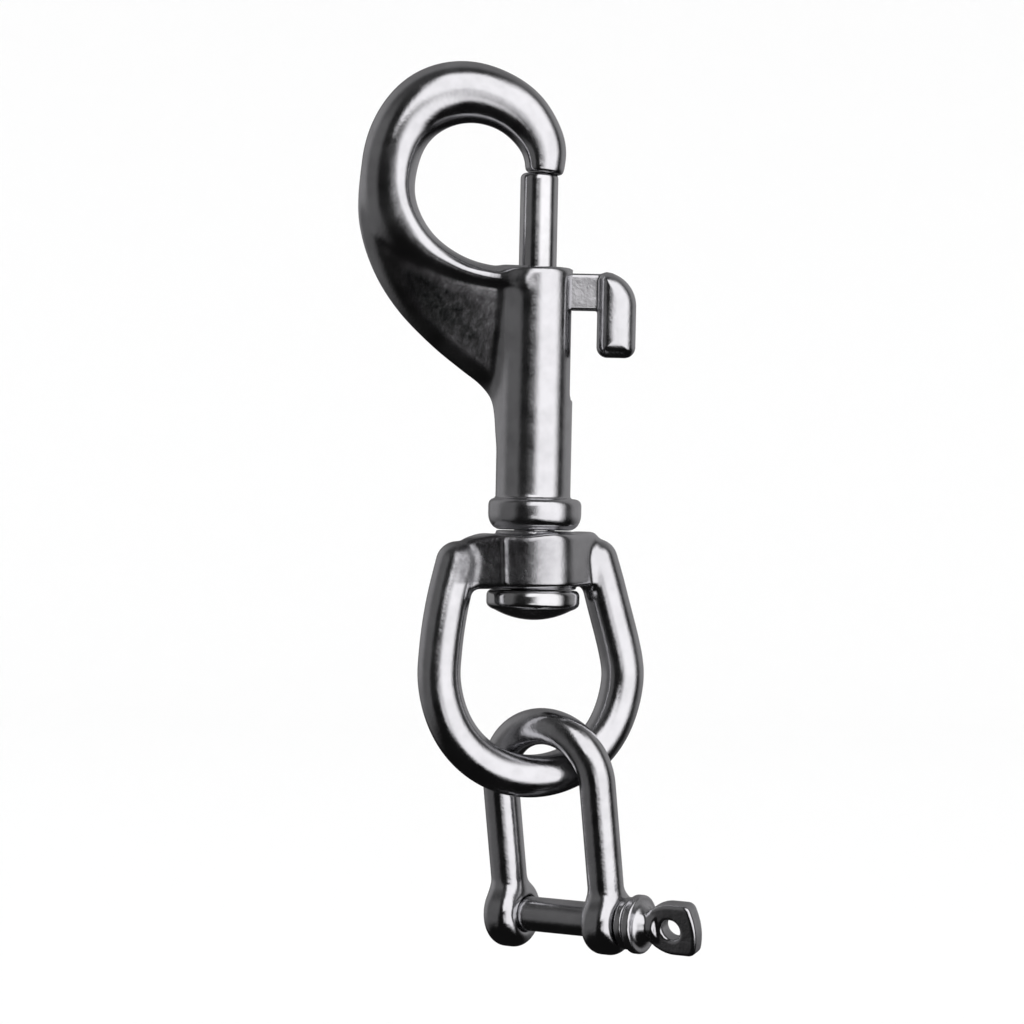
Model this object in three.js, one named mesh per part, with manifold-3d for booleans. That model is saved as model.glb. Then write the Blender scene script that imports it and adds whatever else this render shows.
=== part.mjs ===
// A swivel bolt snap with a screw-pin shackle: boat hardware in polished stainless steel.
//
// Millimetres, +Z up. The snap hangs from its hook, with the hook's opening facing +X. The origin is
// the inner top of the hook's eye, where the snap is held. The barrel and its plunger stand on one
// vertical axis at x = AXIS_X, and the collar and the swivel on another at x = SWIVEL_X.
import * as THREE from 'three';
import { LoftGeometry } from 'three/addons/geometries/LoftGeometry.js';
import { RoundedBoxGeometry } from 'three/addons/geometries/RoundedBoxGeometry.js';
import { mergeVertices } from 'three/addons/utils/BufferGeometryUtils.js';
import Module from 'manifold-3d';

const wasm = await Module();
wasm.setup();

// ---- Clearances ----
const RUNNING_GAP = 0.3; // between pieces that move on each other
const PRESS_GAP = 0.1; // between pieces that are pressed together

// ---- Hook body ----
const AXIS_X = 9.5;
const SWIVEL_X = 9.8;
const BARREL = { radius: 5.15, top: -19.85, edge: 0.7 };
const COLLAR = { radius: 6.4, top: -51.5, bottom: -55.85, edge: 1.3 };
const WEB = { halfDepth: 2.6, edge: 1.4 };

// The eye's bar from the tip, over the crown, down the back and along to the barrel:
// inner edge x and z, outer edge x and z, half of its depth in y.
const EYE_BAR = [
  [7.35, -6.35, 12.75, -7.25, 2.6],
  [7.33, -5.07, 13.0, -3.0, 3.0],
  [6.4, -3.28, 11.75, 0.6, 3.3],
  [3.95, -1.03, 7.75, 5.55, 3.6],
  [0.1, 0, -0.3, 8.5, 3.7],
  [-3.75, -1.03, -8.15, 6.6, 3.7],
  [-6.57, -3.85, -13.5, 0.2, 3.65],
  [-7.65, -8.3, -15.25, -7.2, 3.6],
  [-7.33, -11.17, -13.9, -14.2, 3.3],
  [-5.65, -14.6, -9.9, -18.6, 3.0],
  [-3.25, -17.0, -5.4, -20.6, 2.9],
  [0.1, -18.9, -0.7, -22.2, 2.9],
  [4.0, -19.75, 3.8, -22.8, 2.9],
  [8.0, -19.95, 8.0, -22.8, 2.9],
];

// The web behind the eye: its free edge down to the barrel, and the line along the middle of the
// eye's bar that closes it.
const WEB_EDGE = [
  [-14.2, -5],
  [-15.2, -8.5],
  [-15.47, -11.5],
  [-15.0, -15],
  [-13.8, -19],
  [-11.8, -23],
  [-8.8, -27],
  [-4.65, -31],
  [-0.85, -34],
  [1.8, -36],
  [3.45, -38],
  [4.2, -40.2],
  [4.5, -43],
];
const WEB_INSIDE = [
  [10, -44],
  [10, -21.5],
  [3.9, -21.3],
  [-0.3, -20.6],
  [-4.4, -18.9],
  [-7.9, -16.6],
  [-10.0, -12.6],
  [-9.6, -6],
];

// ---- Plunger, thumb lever and spring ----
const PLUNGER = { radius: 2.6, top: -6.85, seat: -30, spigotRadius: 1.2, spigotLength: 2 };
const TIP_SOCKET_DEPTH = 0.55; // how far the plunger's nose stands inside the hook's tip
const TRAVEL = 12;
const STEM = { top: -20.55, bottom: -25.6, halfDepth: 1.35, innerX: AXIS_X - 0.8, edge: 0.35 };
const PAD = { left: 17.8, right: 23.15, top: -20.2, bottom: -32.0, halfDepth: 2.85, sole: 1.4, brow: 1.2 };
const SPRING = { wireRadius: 0.35, coilRadius: 2.05, turns: 7 };

// ---- Swivel ----
const STUD = { radius: 2.8, top: -48.3, headRadius: 6.4, headTop: -64.05, headEdge: 0.5, domeFoot: -68.2 };
const HUB = { radius: 5.9, bottom: -63.95, seatRadius: 5.3, seatTop: -55.97, shoulder: -57.2 };
const CROSSBAR = {
  top: -56.3,
  bottom: -63.7,
  bossRadius: 6.6, // it bulges round the stud
  endRadius: 2.4,
  leftReach: 7.9, // from the stud to the middle of the round at each end
  rightReach: 6.9,
  edge: 0.6,
  lean: 2.2, // degrees: its right end stands higher
};
const BAIL_YAW = 20; // degrees: its left side stands nearer the viewer
const BAIL_ROD = 2.95; // radius
// The bail's centreline in its own plane: how far out from the stud, and z, from the shoulder down.
const BAIL_LEFT = [
  [10.0, -59.9],
  [11.2, -61.3],
  [11.9, -63.5],
  [12.4, -66],
  [13.05, -70],
  [13.35, -74],
  [13.4, -77],
  [11.95, -82.4],
  [8.4, -86.8],
  [4.0, -89.15],
];
const BAIL_RIGHT = [
  [8.9, -59.35],
  [9.8, -60.9],
  [10.45, -63.3],
  [11.15, -66],
  [12.4, -70],
  [13.4, -74],
  [13.5, -77],
  [12.15, -82.4],
  [8.7, -86.8],
  [4.3, -89.15],
];
const BAIL_LOW = -89.75;

// ---- Shackle and pin ----
// Along the pin (s), out of the plane of the bow (y) and up (z), from the centre of the bow.
const SHACKLE = {
  centre: [12.5, 1.2, -90.45],
  yaw: THREE.MathUtils.degToRad(33), // its right leg stands nearer the viewer
  lean: THREE.MathUtils.degToRad(6), // its legs run down to the right
  swing: THREE.MathUtils.degToRad(10), // and away from the viewer
  rod: 2.5,
  halfWidth: 7.85,
  pinDrop: 19.3,
  earRadius: 4.4,
  earHalf: 2.55,
  outerEdge: 1.6, // rounding of the ears' outer faces
  innerEdge: 0.9, // and of the faces that look into the jaw
};
const PIN = {
  radius: 2.4,
  collars: [
    { radius: 3.6, thick: 1.15 },
    { radius: 3.15, thick: 0.3 },
    { radius: 3.95, thick: 1.3 },
  ],
  neckRadius: 2.3,
  tabStart: 15.1,
  tabEnd: 21.3,
  tabBulge: 0.75,
  tabHalfStart: 2.45,
  tabHalfEnd: 3.65,
  tabThick: 2.4,
  tabEdge: 0.35,
  tabTilt: 5, // degrees: its upper edge leans away from the viewer
  holeAt: 18.25,
  holeRadius: 1.4,
};

// ---- Helpers ----

// A closed geometry as a manifold-3d solid, facing out.
function solid(geometry) {
  const bare = new THREE.BufferGeometry().setAttribute('position', geometry.getAttribute('position'));
  if (geometry.index) bare.setIndex(geometry.index);
  const merged = mergeVertices(bare, 1e-4);
  const corners = [];
  for (let i = 0; i < merged.index.count; i += 3) {
    const [a, b, c] = [0, 1, 2].map((k) => merged.index.getX(i + k));
    if (a !== b && b !== c && c !== a) corners.push(a, b, c);
  }
  const build = (triangles) =>
    new wasm.Manifold(
      new wasm.Mesh({
        numProp: 3,
        vertProperties: merged.attributes.position.array,
        triVerts: new Uint32Array(triangles),
      }),
    );
  const made = build(corners);
  return made.volume() > 0 ? made : build(corners.reverse());
}

function union(...solids) {
  return solids.reduce((whole, piece) => whole.add(piece));
}

// A solid of revolution about the vertical line through (x, 0), from [radius, height] points.
function turned(profile, x = 0, sides = 40) {
  const points = profile.map(([radius, height]) => new THREE.Vector2(radius, height));
  const geometry = new THREE.LatheGeometry(points, sides).rotateX(Math.PI / 2).translate(x, 0, 0);
  return solid(geometry);
}

// Makes a section drawn with sine and cosine fuller than an ellipse.
function full(value) {
  return Math.sign(value) * Math.abs(value) ** 0.8;
}

// A slab with its outline in the x-y plane, centred on z = 0, with rounded edges.
function slab(shape, halfThick, edge, segments = 3) {
  const geometry = new THREE.ExtrudeGeometry(shape, {
    depth: 2 * (halfThick - edge),
    bevelEnabled: edge > 0,
    bevelThickness: edge,
    bevelSize: edge,
    bevelOffset: -edge,
    bevelSegments: segments,
    curveSegments: 10,
  });
  return solid(geometry.translate(0, 0, edge - halfThick));
}

// The same, stood up so that its outline lies in the x-z plane.
function plate(shape, halfDepth, edge, segments = 3) {
  return slab(shape, halfDepth, edge, segments).rotate([90, 0, 0]);
}

// A tube of round section along a curve, closed at both ends.
function tube(curve, radius, steps, sides) {
  const frames = curve.computeFrenetFrames(steps);
  const sections = [];
  for (let i = 0; i <= steps; i += 1) {
    const at = curve.getPointAt(i / steps);
    const ring = [];
    for (let j = 0; j < sides; j += 1) {
      const angle = (2 * Math.PI * j) / sides;
      ring.push(
        at
          .clone()
          .addScaledVector(frames.normals[i], radius * Math.cos(angle))
          .addScaledVector(frames.binormals[i], radius * Math.sin(angle)),
      );
    }
    sections.push(ring);
  }
  return solid(new LoftGeometry(sections, { capStart: true, capEnd: true }));
}

// A level section with full rounded sides, half as wide as halfX and half as deep as halfY.
function roundedSection(x, z, halfX, halfY, sides) {
  const points = [];
  for (let j = 0; j < sides; j += 1) {
    const angle = (2 * Math.PI * j) / sides;
    points.push(new THREE.Vector3(x + halfX * full(Math.cos(angle)), halfY * full(Math.sin(angle)), z));
  }
  return points;
}

function splinePoints(points, count) {
  return new THREE.SplineCurve(points.map(([x, z]) => new THREE.Vector2(x, z))).getSpacedPoints(count);
}

function meshOf(name, made, material) {
  const { numProp, vertProperties, triVerts, numVert } = made.getMesh();
  const positions = new Float32Array(numVert * 3);
  for (let i = 0; i < numVert; i += 1) {
    positions.set(vertProperties.subarray(i * numProp, i * numProp + 3), i * 3);
  }
  const geometry = new THREE.BufferGeometry()
    .setAttribute('position', new THREE.BufferAttribute(positions, 3))
    .setIndex(new THREE.BufferAttribute(triVerts, 1));
  geometry.computeVertexNormals();
  const mesh = new THREE.Mesh(geometry, material);
  mesh.name = name;
  return mesh;
}

function steel(color, roughness) {
  return new THREE.MeshStandardMaterial({ color, roughness, metalness: 1 });
}

// ---- Hook body ----

// The bar of the eye: a rounded section that changes width and depth along the bar.
function eyeBar(steps = 44, sides = 20) {
  const inner = new THREE.CatmullRomCurve3(EYE_BAR.map(([x, z]) => new THREE.Vector3(x, 0, z)));
  const outer = new THREE.CatmullRomCurve3(EYE_BAR.map(([, , x, z]) => new THREE.Vector3(x, 0, z)));
  const depth = new THREE.CatmullRomCurve3(EYE_BAR.map((row, i) => new THREE.Vector3(i, row[4], 0)));
  const sections = [];
  for (let i = 0; i <= steps; i += 1) {
    const a = inner.getPoint(i / steps);
    const b = outer.getPoint(i / steps);
    const halfDepth = depth.getPoint(i / steps).y;
    const middle = a.clone().lerp(b, 0.5);
    const reach = b.clone().sub(a).multiplyScalar(0.5);
    const ring = [];
    for (let j = 0; j < sides; j += 1) {
      const angle = (2 * Math.PI * j) / sides;
      const point = middle.clone().addScaledVector(reach, full(Math.cos(angle)));
      point.y = halfDepth * full(Math.sin(angle));
      ring.push(point);
    }
    sections.push(ring);
  }
  return solid(new LoftGeometry(sections, { capStart: true, capEnd: true }));
}

// The web between the eye and the barrel.
function web() {
  const edge = splinePoints(WEB_EDGE, 34);
  const outline = new THREE.Shape([...edge, ...WEB_INSIDE.map(([x, z]) => new THREE.Vector2(x, z))]);
  return plate(outline, WEB.halfDepth, WEB.edge);
}

function barrel() {
  const { radius, top, edge } = BARREL;
  const round = 1 - Math.SQRT1_2;
  return turned(
    [
      [0, COLLAR.bottom + COLLAR.edge],
      [radius, COLLAR.bottom + COLLAR.edge],
      [radius, top - edge],
      [radius - edge * round, top - edge * round],
      [radius - edge, top],
      [0, top],
    ],
    AXIS_X,
  );
}

function collar() {
  const { radius, top, bottom, edge } = COLLAR;
  const round = 1 - Math.SQRT1_2;
  return turned(
    [
      [0, bottom],
      [radius - edge, bottom],
      [radius - edge * round, bottom + edge * round],
      [radius, bottom + edge],
      [radius, top - edge],
      [radius - edge * round, top - edge * round],
      [radius - edge, top],
      [0, top],
    ],
    SWIVEL_X,
  );
}

// The slot in the barrel's side that the lever's stem moves along.
function slotCutter() {
  const top = STEM.top + RUNNING_GAP;
  const bottom = STEM.bottom - TRAVEL - RUNNING_GAP;
  const height = top - bottom;
  const width = 2 * (STEM.halfDepth + RUNNING_GAP);
  const length = BARREL.radius + 1;
  const box = new RoundedBoxGeometry(length, width, height, 2, 0.9);
  return solid(box.translate(AXIS_X + 1 + length / 2, 0, (top + bottom) / 2));
}

function hookBody() {
  const boreRadius = PLUNGER.radius + RUNNING_GAP;
  const boreFoot = STUD.top - RUNNING_GAP;
  const bore = turned(
    [
      [0, boreFoot],
      [boreRadius, boreFoot],
      [boreRadius, BARREL.top + 1],
      [0, BARREL.top + 1],
    ],
    AXIS_X,
  );
  const studRadius = STUD.radius + PRESS_GAP;
  const studHole = turned(
    [
      [0, COLLAR.bottom - 1],
      [studRadius, COLLAR.bottom - 1],
      [studRadius, STUD.top + RUNNING_GAP],
      [0, STUD.top + RUNNING_GAP],
    ],
    SWIVEL_X,
  );
  const socketTop = PLUNGER.top + TIP_SOCKET_DEPTH;
  const socket = turned(
    [
      [0, PLUNGER.top - 3],
      [boreRadius, PLUNGER.top - 3],
      [boreRadius, socketTop - 0.4],
      [boreRadius - 0.4, socketTop],
      [0, socketTop],
    ],
    AXIS_X,
  );
  return union(eyeBar(), web(), barrel(), collar())
    .subtract(bore)
    .subtract(studHole)
    .subtract(socket)
    .subtract(slotCutter());
}

// ---- Plunger, lever and spring ----

function plungerBolt() {
  const { radius, top, seat, spigotRadius, spigotLength } = PLUNGER;
  const body = turned(
    [
      [0, seat - spigotLength],
      [spigotRadius - 0.3, seat - spigotLength],
      [spigotRadius, seat - spigotLength + 0.3],
      [spigotRadius, seat],
      [radius - 0.3, seat],
      [radius, seat + 0.3],
      [radius, top - 1.0],
      [radius - 0.35, top - 0.35],
      [radius - 1.1, top],
      [0, top],
    ],
    AXIS_X,
    32,
  );
  const length = radius + 1 + AXIS_X - STEM.innerX;
  const hole = new THREE.BoxGeometry(
    length,
    2 * (STEM.halfDepth + PRESS_GAP),
    STEM.top - STEM.bottom + 2 * PRESS_GAP,
  ).translate(STEM.innerX - PRESS_GAP + length / 2, 0, (STEM.top + STEM.bottom) / 2);
  return body.subtract(solid(hole));
}

// The pad that the thumb draws down: a rounded upright bar, quarter-round at its outer top corner.
function thumbPad(steps = 24, sides = 24) {
  const { left, right, top, bottom, halfDepth, sole, brow } = PAD;
  const crown = right - left - 0.5;
  const arc = (t) => Math.sqrt(1 - Math.min(Math.max(t, 0), 0.985) ** 2);
  const sections = [];
  for (let i = 0; i <= steps; i += 1) {
    const z = THREE.MathUtils.lerp(bottom, top, (1 - Math.cos((Math.PI * i) / steps)) / 2);
    const low = arc((bottom + sole - z) / sole);
    const inset = ((right - left) / 2) * (1 - low);
    const x0 = left + inset;
    const x1 = right - inset - crown * (1 - arc((z - top + crown) / crown));
    const y = halfDepth * low * arc((z - top + brow) / brow);
    sections.push(roundedSection((x0 + x1) / 2, z, (x1 - x0) / 2, y, sides));
  }
  return solid(new LoftGeometry(sections, { capStart: true, capEnd: true }));
}

function thumbLever() {
  const stemEnd = (PAD.left + PAD.right) / 2;
  const stemLength = stemEnd - STEM.innerX;
  const stem = new RoundedBoxGeometry(
    stemLength,
    2 * STEM.halfDepth,
    STEM.top - STEM.bottom,
    2,
    STEM.edge,
  ).translate(STEM.innerX + stemLength / 2, 0, (STEM.top + STEM.bottom) / 2);
  return union(solid(stem), thumbPad());
}

// A compression spring with its ends closed down against the plunger and the stud.
class Helix extends THREE.Curve {
  getPoint(t, target = new THREE.Vector3()) {
    const bottom = STUD.top + RUNNING_GAP + SPRING.wireRadius;
    const top = PLUNGER.seat - RUNNING_GAP - SPRING.wireRadius;
    const angle = 2 * Math.PI * SPRING.turns * t;
    const settled = THREE.MathUtils.clamp((t - 0.1) / 0.8, 0, 1); // no rise over the end turns
    return target.set(
      AXIS_X + SPRING.coilRadius * Math.cos(angle),
      SPRING.coilRadius * Math.sin(angle),
      THREE.MathUtils.lerp(bottom, top, settled * 0.86 + t * 0.14),
    );
  }
}

function plungerSpring() {
  return tube(new Helix(), SPRING.wireRadius, SPRING.turns * 16, 6);
}

// ---- Swivel ----

// The stud: a shank through the bail's boss, with a domed head under it.
function swivelStud() {
  const { radius, top, headRadius, headTop, headEdge, domeFoot } = STUD;
  const dome = 1.6; // how far the head's underside swells
  const corner = 0.9;
  const round = 1 - Math.SQRT1_2;
  return turned(
    [
      [0, domeFoot],
      [0.35 * headRadius, domeFoot + 0.12 * dome],
      [0.65 * headRadius, domeFoot + 0.45 * dome],
      [headRadius - corner, domeFoot + dome],
      [headRadius - corner * round, domeFoot + dome + corner * round],
      [headRadius, domeFoot + dome + corner],
      [headRadius, headTop - headEdge],
      [headRadius - headEdge, headTop],
      [radius, headTop],
      [radius, top - 0.4],
      [radius - 0.4, top],
      [0, top],
    ],
    SWIVEL_X,
  );
}

// The crossbar's plan: a wide circle drawn out to a narrow one on each side.
function crossbar() {
  const { top, bottom, bossRadius, endRadius, leftReach, rightReach, edge, lean } = CROSSBAR;
  const right = Math.acos((bossRadius - endRadius) / rightReach);
  const left = Math.acos((bossRadius - endRadius) / leftReach);
  const outline = new THREE.Shape();
  outline.absarc(rightReach, 0, endRadius, -right, right);
  outline.absarc(0, 0, bossRadius, right, Math.PI - left);
  outline.absarc(-leftReach, 0, endRadius, Math.PI - left, Math.PI + left);
  outline.absarc(0, 0, bossRadius, Math.PI + left, 2 * Math.PI - right);
  const bar = slab(outline, (top - bottom) / 2, edge, 2);
  return bar.rotate([0, -lean, 0]).translate([0, 0, (top + bottom) / 2]);
}

function swivelEye() {
  const left = BAIL_LEFT.map(([u, z]) => new THREE.Vector3(-u, 0, z));
  const right = BAIL_RIGHT.map(([u, z]) => new THREE.Vector3(u, 0, z));
  const low = new THREE.Vector3(0, 0, BAIL_LOW);
  const line = new THREE.CatmullRomCurve3([...left, low, ...right.toReversed()]);
  const shoulders = [left[0], right[0]].map((at) =>
    solid(new THREE.SphereGeometry(BAIL_ROD, 18, 12).translate(at.x, 0, at.z)),
  );
  const { radius, bottom, seatRadius, seatTop, shoulder } = HUB;
  const hub = turned([
    [0, bottom],
    [radius, bottom],
    [radius, shoulder],
    [seatRadius, shoulder],
    [seatRadius, seatTop],
    [0, seatTop],
  ]);
  const boreRadius = STUD.radius + RUNNING_GAP;
  const bore = turned([
    [0, bottom - 1],
    [boreRadius, bottom - 1],
    [boreRadius, seatTop + 1],
    [0, seatTop + 1],
  ]);
  return union(tube(line, BAIL_ROD, 60, 18), ...shoulders, crossbar(), hub)
    .subtract(bore)
    .rotate([0, 0, BAIL_YAW])
    .translate([SWIVEL_X, 0, 0]);
}

// ---- Shackle ----

// A solid of revolution about the pin's axis, from [radius, s] points.
function turnedOnPin(profile, sides = 32) {
  const points = profile.map(([radius, s]) => new THREE.Vector2(radius, s));
  const geometry = new THREE.LatheGeometry(points, sides).rotateZ(-Math.PI / 2);
  return solid(geometry.translate(0, 0, -SHACKLE.pinDrop));
}

function ear(side) {
  const { halfWidth, earRadius, earHalf, outerEdge, innerEdge } = SHACKLE;
  const round = 1 - Math.SQRT1_2;
  const [low, high] = side < 0 ? [outerEdge, innerEdge] : [innerEdge, outerEdge];
  const start = side * halfWidth - earHalf;
  const end = side * halfWidth + earHalf;
  return turnedOnPin([
    [0, start],
    [earRadius - low, start],
    [earRadius - low * round, start + low * round],
    [earRadius, start + low],
    [earRadius, end - high],
    [earRadius - high * round, end - high * round],
    [earRadius - high, end],
    [0, end],
  ]);
}

function shackleBow() {
  const { rod, halfWidth, pinDrop, earHalf } = SHACKLE;
  const line = new THREE.CurvePath();
  const foot = -pinDrop + 1.5;
  const crown = [0, 1, 2, 3, 4, 5, 6, 7, 8].map((i) => {
    const angle = Math.PI * (1 - i / 8);
    return new THREE.Vector3(halfWidth * Math.cos(angle), 0, halfWidth * Math.sin(angle));
  });
  line.add(new THREE.LineCurve3(new THREE.Vector3(-halfWidth, 0, foot), crown[0]));
  line.add(new THREE.CatmullRomCurve3(crown));
  line.add(new THREE.LineCurve3(crown[8], new THREE.Vector3(halfWidth, 0, foot)));
  const bow = union(tube(line, rod, 44, 18), ear(-1), ear(1));
  const reach = halfWidth + earHalf + 1;
  const boreRadius = PIN.radius + RUNNING_GAP;
  const bore = turnedOnPin([
    [0, -reach],
    [boreRadius, -reach],
    [boreRadius, reach],
    [0, reach],
  ]);
  return bow.subtract(bore);
}

function shacklePin() {
  const start = -SHACKLE.halfWidth - SHACKLE.earHalf + RUNNING_GAP;
  let s = SHACKLE.halfWidth + SHACKLE.earHalf + RUNNING_GAP;
  const profile = [
    [0, start],
    [PIN.radius - 0.4, start],
    [PIN.radius, start + 0.4],
    [PIN.radius, s],
  ];
  for (const { radius, thick } of PIN.collars) {
    profile.push([radius, s], [radius, s + thick]);
    s += thick;
  }
  profile.push([PIN.neckRadius, s], [PIN.neckRadius, PIN.tabStart + 0.8], [0, PIN.tabStart + 0.8]);
  const tab = new THREE.Shape();
  tab.moveTo(PIN.tabStart, -PIN.tabHalfStart);
  tab.quadraticCurveTo(PIN.holeAt, -PIN.tabHalfEnd, PIN.tabEnd, -PIN.tabHalfEnd);
  tab.quadraticCurveTo(PIN.tabEnd + 2 * PIN.tabBulge, 0, PIN.tabEnd, PIN.tabHalfEnd);
  tab.quadraticCurveTo(PIN.holeAt, PIN.tabHalfEnd, PIN.tabStart, PIN.tabHalfStart);
  tab.closePath();
  const hole = new THREE.Path();
  hole.absarc(PIN.holeAt, 0, PIN.holeRadius, 0, 2 * Math.PI, true);
  tab.holes.push(hole);
  const flat = plate(tab, PIN.tabThick / 2, PIN.tabEdge, 1)
    .rotate([PIN.tabTilt, 0, 0])
    .translate([0, 0, -SHACKLE.pinDrop]);
  return union(turnedOnPin(profile), flat);
}

// ---- The assembly ----

const castSteel = steel(0xb9b9bd, 0.3);
const boltSteel = steel(0xc6c6ca, 0.2);
const leverSteel = steel(0xb2b2b6, 0.3);
const springSteel = steel(0xa8a8ac, 0.35);
const forgedSteel = steel(0xbebec2, 0.25);
const pinSteel = steel(0xb4b4b8, 0.25);

const snap = new THREE.Group();
snap.add(meshOf('hook_body', hookBody(), castSteel));
snap.add(meshOf('plunger_bolt', plungerBolt(), boltSteel));
snap.add(meshOf('thumb_lever', thumbLever(), leverSteel));
snap.add(meshOf('plunger_spring', plungerSpring(), springSteel));
snap.add(meshOf('swivel_stud', swivelStud(), boltSteel));
snap.add(meshOf('swivel_eye', swivelEye(), forgedSteel));

const shackle = new THREE.Group();
shackle.position.set(...SHACKLE.centre);
shackle.rotation.set(SHACKLE.swing, -SHACKLE.lean, -SHACKLE.yaw, 'YXZ');
shackle.add(meshOf('shackle_bow', shackleBow(), forgedSteel));
shackle.add(meshOf('shackle_pin', shacklePin(), pinSteel));
snap.add(shackle);

export default snap;
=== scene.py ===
# A swivel bolt snap with a pin shackle, in polished and mottled cast stainless steel.
#
# Every piece but the spring is an implicit solid: a field in millimetres that is negative inside,
# worked out on a block of sample points and turned into a smooth mesh. Blender's scene is in metres.
import math

import bpy
import numpy as np
from mathutils import Matrix, Vector


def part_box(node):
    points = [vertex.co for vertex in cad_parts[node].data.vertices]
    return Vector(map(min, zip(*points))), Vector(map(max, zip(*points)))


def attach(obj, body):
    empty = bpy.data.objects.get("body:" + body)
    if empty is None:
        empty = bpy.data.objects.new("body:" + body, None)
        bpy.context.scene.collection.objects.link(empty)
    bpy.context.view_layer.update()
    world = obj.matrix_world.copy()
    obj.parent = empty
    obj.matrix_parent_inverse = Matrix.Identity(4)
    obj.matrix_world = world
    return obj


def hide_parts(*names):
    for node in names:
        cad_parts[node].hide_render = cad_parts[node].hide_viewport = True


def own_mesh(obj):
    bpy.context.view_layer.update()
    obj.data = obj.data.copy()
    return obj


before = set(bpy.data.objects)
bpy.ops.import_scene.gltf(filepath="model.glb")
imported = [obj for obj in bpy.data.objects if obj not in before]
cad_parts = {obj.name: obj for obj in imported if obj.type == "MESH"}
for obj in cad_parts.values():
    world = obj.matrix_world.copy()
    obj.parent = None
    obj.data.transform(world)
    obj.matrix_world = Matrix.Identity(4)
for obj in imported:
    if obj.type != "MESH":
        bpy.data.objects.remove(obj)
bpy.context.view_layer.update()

MM = 0.001


def box_mm(node):
    low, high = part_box(node)
    return np.array(low) / MM, np.array(high) / MM


# ---- Places, from the frame ----
BOLT_LOW, BOLT_HIGH = box_mm("plunger_bolt")
STUD_LOW, STUD_HIGH = box_mm("swivel_stud")
HOOK_LOW, HOOK_HIGH = box_mm("hook_body")
SPRING_LOW, SPRING_HIGH = box_mm("plunger_spring")
AXIS_X = (BOLT_LOW[0] + BOLT_HIGH[0]) / 2
SWIVEL_X = (STUD_LOW[0] + STUD_HIGH[0]) / 2

RUNNING_GAP = 0.3  # between pieces that move on each other
MARGIN = 0.6  # of empty space round a piece in its block

# ---- Hook body ----
BARREL_RADIUS = 5.15
BARREL_TOP = -19.85
BARREL_EDGE = 0.8
COLLAR_TOP = -51.5
COLLAR_BOTTOM = HOOK_LOW[2]
COLLAR_RADIUS = HOOK_HIGH[1]
COLLAR_TOP_ROUND = {"height": 0.9, "depth": 1.0}
COLLAR_FOOT_ROUND = {"height": 2.2, "depth": 1.7}
BORE_RADIUS = BOLT_HIGH[1] + RUNNING_GAP
SLOT_HALF = 1.65
SLOT_TOP = -20.25
SLOT_BOTTOM = -37.9
SLOT_ROUND = 0.9
SOCKET = {"above_bolt": 0.13, "round_bolt": 0.15, "depth": 8.0, "corner": 0.6, "lowest": -12.0}
BAR_POWER = 2.15  # the bar's section lies between an ellipse (2) and a box
# Half the web's thickness: thin at its free edge, and swelling inwards over its reach.
WEB_THIN = 1.15
WEB_SWELL = 2.5
WEB_REACH = 11.0
WEB_ROUND = 2.4  # how wide the rounding along the free edge is

# Stations along the eye's bar, from the tip over the crown and down the back to the barrel:
# inner edge x and z, outer edge x and z, half depth, and where the ridge stands between the edges.
EYE_BAR = np.array([
    [7.5, -6.7, 12.75, -7.3, 3.1, 0.43],
    [7.4, -5.07, 13.0, -3.2, 3.1, 0.43],
    [6.45, -3.28, 11.75, 0.6, 3.15, 0.43],
    [3.95, -1.03, 7.75, 5.55, 3.4, 0.45],
    [0.1, 0.0, -0.3, 8.5, 3.8, 0.48],
    [-3.75, -1.03, -8.2, 6.65, 4.25, 0.51],
    [-6.57, -3.85, -13.45, 0.35, 4.3, 0.47],
    [-7.6, -8.3, -15.15, -7.5, 3.9, 0.36],
    [-7.3, -11.4, -13.9, -14.2, 3.45, 0.3],
    [-5.65, -14.6, -9.9, -18.6, 3.25, 0.36],
    [-3.25, -17.0, -5.4, -20.6, 3.25, 0.48],
    [0.1, -18.9, -0.7, -22.2, 3.4, 0.55],
    [4.0, -19.75, 3.8, -22.8, 3.9, 0.68],
    [8.0, -19.95, 8.0, -22.8, 4.8, 0.75],
])
# The web's free edge, from the back of the eye down to the barrel, as x and z.
WEB_EDGE = [
    [-13.3, -3.5],
    [-14.9, -8.0],
    [-15.35, -11.5],
    [-15.0, -15.0],
    [-13.8, -19.0],
    [-11.8, -23.0],
    [-8.8, -27.0],
    [-4.65, -31.0],
    [-0.85, -34.0],
    [1.8, -36.0],
    [3.45, -38.0],
    [4.2, -40.2],
    [4.75, -43.0],
    [6.0, -46.0],
]
# The rest of its outline, hidden in the barrel and the bar.
WEB_INSIDE = [
    [10.0, -46.0],
    [10.0, -21.5],
    [3.9, -21.3],
    [-0.3, -20.6],
    [-4.4, -18.9],
    [-7.9, -16.6],
    [-10.0, -12.6],
    [-9.6, -6.0],
]

# ---- Plunger, lever and spring ----
BOLT_SEAT = -30.0
BOLT_TIP_ROUND = 0.75
SPIGOT_RADIUS = 1.2
STEM_HALF_DEPTH = 1.35
STEM_TOP = -20.55
STEM_BOTTOM = -25.6
PAD_LEFT = 17.8
PAD_POWER = 2.4
PAD_ROUND = 2.55
WIRE_RADIUS = 0.35
SPRING_TURNS = 7

# ---- Swivel ----
BAIL_YAW = math.radians(20)
BAIL_ROD = 2.95
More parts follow.
